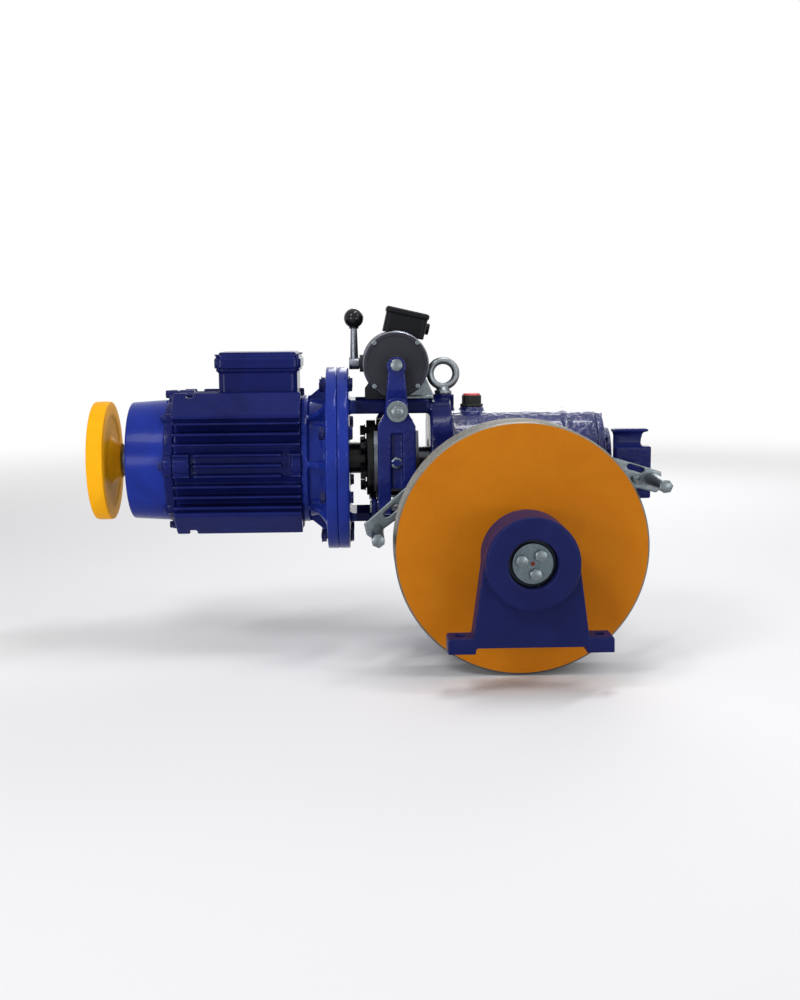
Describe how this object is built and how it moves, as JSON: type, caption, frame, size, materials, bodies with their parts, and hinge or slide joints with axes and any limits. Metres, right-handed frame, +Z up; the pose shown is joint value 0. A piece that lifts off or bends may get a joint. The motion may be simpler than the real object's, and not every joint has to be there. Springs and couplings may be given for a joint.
{
  "type": "elevator traction machine",
  "caption": "Geared elevator traction machine: flange motor with handwheel, drum brake with electromagnet, worm gearbox, grooved rope sheave and outboard pedestal bearing.",
  "frame": {"origin": "centre of the gearbox foot pattern on the mounting plane, below the worm wheel", "axes": "+X along the motor and worm axis away from the motor, +Z up, Y along the slow shaft with the rope sheave on the -Y side"},
  "size_m": [0.9625, 0.5573, 0.5929],
  "materials": {
    "housing_blue": "glossy enamel",
    "cover_blue": "glossy enamel",
    "pedestal_blue": "satin enamel",
    "sheave_orange": "satin enamel with machined rim",
    "wheel_yellow": "glossy enamel",
    "zinc_steel": "zinc plated",
    "core_iron": "raw",
    "winding_copper": "enamelled wire",
    "black_plastic": "matte",
    "bright_steel": "machined",
    "seal_rubber": "matte",
    "magnet_grey": "satin enamel",
    "box_black": "satin enamel",
    "spring_steel": "black oxide",
    "bronze": "machined"
  },
  "bodies": {
    "machine": {"gear_housing": "housing_blue", "side_cover": "housing_blue", "housing_bolts": "zinc_steel", "worm_end_cover": "housing_blue", "worm_end_cap": "housing_blue", "motor_flange": "housing_blue", "flange_bolts": "zinc_steel", "motor_frame": "housing_blue", "stator_core": "core_iron", "stator_windings": "winding_copper", "rear_endshield": "housing_blue", "motor_screws": "zinc_steel", "fan_cover": "cover_blue", "terminal_box": "housing_blue", "terminal_box_lid": "housing_blue", "terminal_block": "black_plastic", "fast_bearing_rings": "bright_steel", "slow_bearing_rings": "bright_steel", "shaft_seals": "seal_rubber", "eye_bolt": "zinc_steel", "oil_filler_cap": "black_plastic", "oil_plugs": "zinc_steel", "rope_guards": "zinc_steel", "guard_rods": "zinc_steel", "pedestal": "pedestal_blue", "magnet_bracket": "zinc_steel", "magnet_body": "magnet_grey", "magnet_caps": "magnet_grey", "magnet_coils": "winding_copper", "magnet_terminal_box": "box_black", "pivot_pins": "bright_steel", "spring_studs": "zinc_steel", "brake_spring_front": "spring_steel", "brake_spring_rear": "spring_steel"},
    "worm_line": {"handwheel": "wheel_yellow", "handwheel_bolt": "zinc_steel", "cooling_fan": "black_plastic", "motor_shaft": "bright_steel", "rotor_core": "core_iron", "coupling_half": "box_black", "coupling_pins": "zinc_steel", "brake_drum": "box_black", "worm_shaft": "bright_steel", "worm": "bright_steel", "fast_bearing_races": "bright_steel"},
    "sheave_line": {"sheave": "sheave_orange", "slow_shaft": "bright_steel", "worm_wheel": "bronze", "wheel_hub": "core_iron", "shaft_end_plate": "bright_steel", "end_plate_bolts": "zinc_steel", "slow_bearing_races": "bright_steel"},
    "arm_front": {"brake_arm_front": "housing_blue", "brake_shoe_front": "bright_steel"},
    "arm_rear": {"brake_arm_rear": "housing_blue", "brake_shoe_rear": "bright_steel"},
    "plunger_front": {"plunger_front": "bright_steel"},
    "plunger_rear": {"plunger_rear": "bright_steel"},
    "lever": {"release_lever": "magnet_grey", "lever_knob": "black_plastic"}
  },
  "joints": [
    {"name": "sheave_spin", "type": "hinge", "parent": "machine", "child": "sheave_line", "pos_m": [0, -0.21, 0.14], "axis": [0, 1, 0], "continuous": true},
    {"name": "worm_spin", "type": "hinge", "parent": "machine", "child": "worm_line", "pos_m": [0, 0, 0.265], "axis": [1, 0, 0], "continuous": true},
    {"name": "arm_front_open", "type": "hinge", "parent": "machine", "child": "arm_front", "pos_m": [-0.194, -0.084, 0.189], "axis": [1, 0, 0], "range_deg": [0, 0.5], "deforming": ["brake_spring_front"]},
    {"name": "arm_rear_open", "type": "hinge", "parent": "machine", "child": "arm_rear", "pos_m": [-0.194, 0.084, 0.189], "axis": [-1, 0, 0], "range_deg": [0, 0.55], "deforming": ["brake_spring_rear"]},
    {"name": "lever_turn", "type": "hinge", "parent": "machine", "child": "lever", "pos_m": [-0.26, 0, 0.43], "axis": [1, 0, 0], "range_deg": [0, 31]},
    {"name": "plunger_front_slide", "type": "slide", "parent": "machine", "child": "plunger_front", "axis": [0, -1, 0], "range_m": [0, 0.0022]},
    {"name": "plunger_rear_slide", "type": "slide", "parent": "machine", "child": "plunger_rear", "axis": [0, 1, 0], "range_m": [0, 0.0022]}
  ],
  "couplings": [
    {"joint": "worm_spin", "follows": "sheave_spin", "ratio": -48},
    {"joint": "arm_rear_open", "follows": "arm_front_open", "ratio": 1},
    {"joint": "lever_turn", "follows": "arm_front_open", "ratio": 60},
    {"joint": "plunger_front_slide", "follows": "arm_front_open", "m_per_rad": 0.241},
    {"joint": "plunger_rear_slide", "follows": "arm_front_open", "m_per_rad": 0.241}
  ]
}
